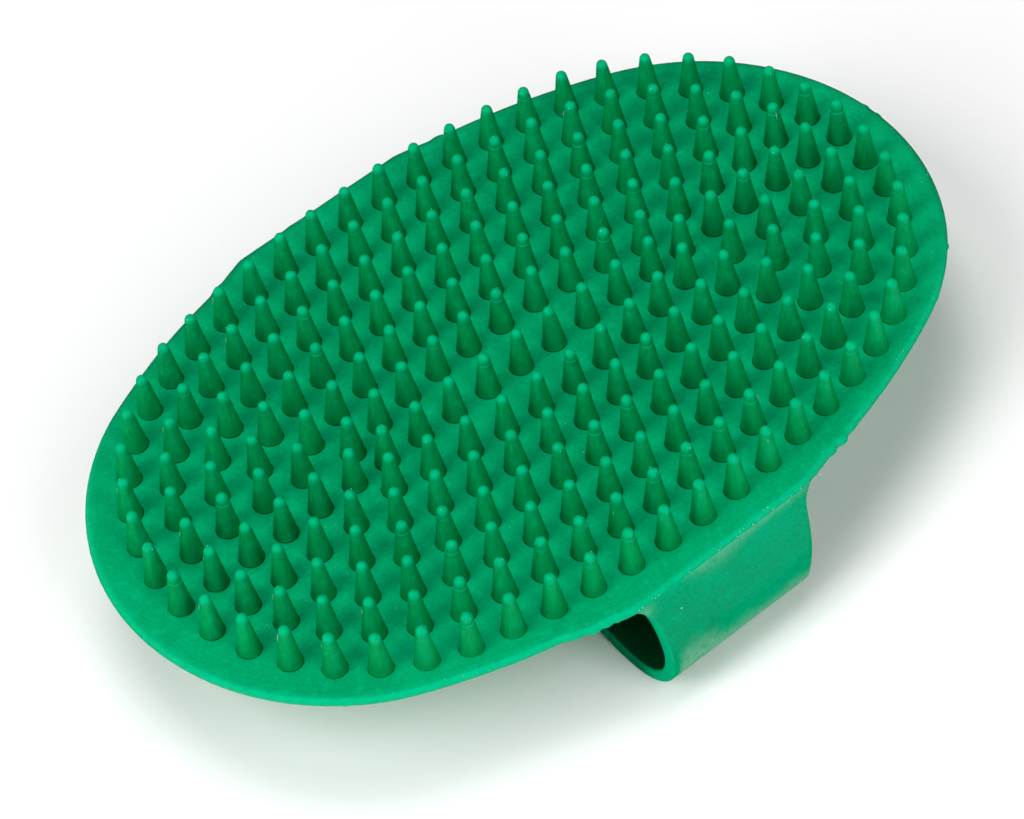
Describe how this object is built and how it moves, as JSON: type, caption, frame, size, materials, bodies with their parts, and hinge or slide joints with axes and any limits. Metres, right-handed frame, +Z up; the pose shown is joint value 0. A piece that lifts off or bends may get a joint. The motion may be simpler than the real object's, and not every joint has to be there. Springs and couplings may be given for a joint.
{
  "type": "oval rubber curry comb",
  "caption": "Oval flexible rubber grooming pad with rings of tapered teeth on its face and a buttoned hand strap lapped across its back.",
  "frame": {"origin": "on the surface it rests on, under the centre of the oval pad: the bottom centre of the bounding box", "axes": "+X along the pad's long axis, +Z up, the way the teeth point, -Y towards the long side whose strap tongue is the outer one"},
  "size_m": [0.165, 0.1146, 0.0349],
  "materials": {
    "pad_rubber": "satin moulded rubber, emerald green",
    "strap_rubber": "satin moulded rubber with a dusty bloom on the bends",
    "tooth_rubber": "satin moulded rubber, emerald green"
  },
  "bodies": {
    "comb": {"pad": "pad_rubber", "strap_wall_near": "strap_rubber", "strap_tongue_far": "strap_rubber", "strap_studs": "strap_rubber", "teeth_centre_row": "tooth_rubber", "teeth_ring_1": "tooth_rubber", "teeth_ring_2": "tooth_rubber", "teeth_ring_3": "tooth_rubber", "teeth_ring_4": "tooth_rubber", "teeth_ring_5": "tooth_rubber", "teeth_ring_6": "tooth_rubber"},
    "flap": {"strap_flap_near": "strap_rubber"}
  },
  "joints": [
    {"name": "strap_flap_hinge", "type": "hinge", "parent": "comb", "child": "flap", "pos_m": [-0.0018, -0.04097, 0.00177], "axis": [-1, 0, 0], "range_deg": [0, 90]}
  ]
}
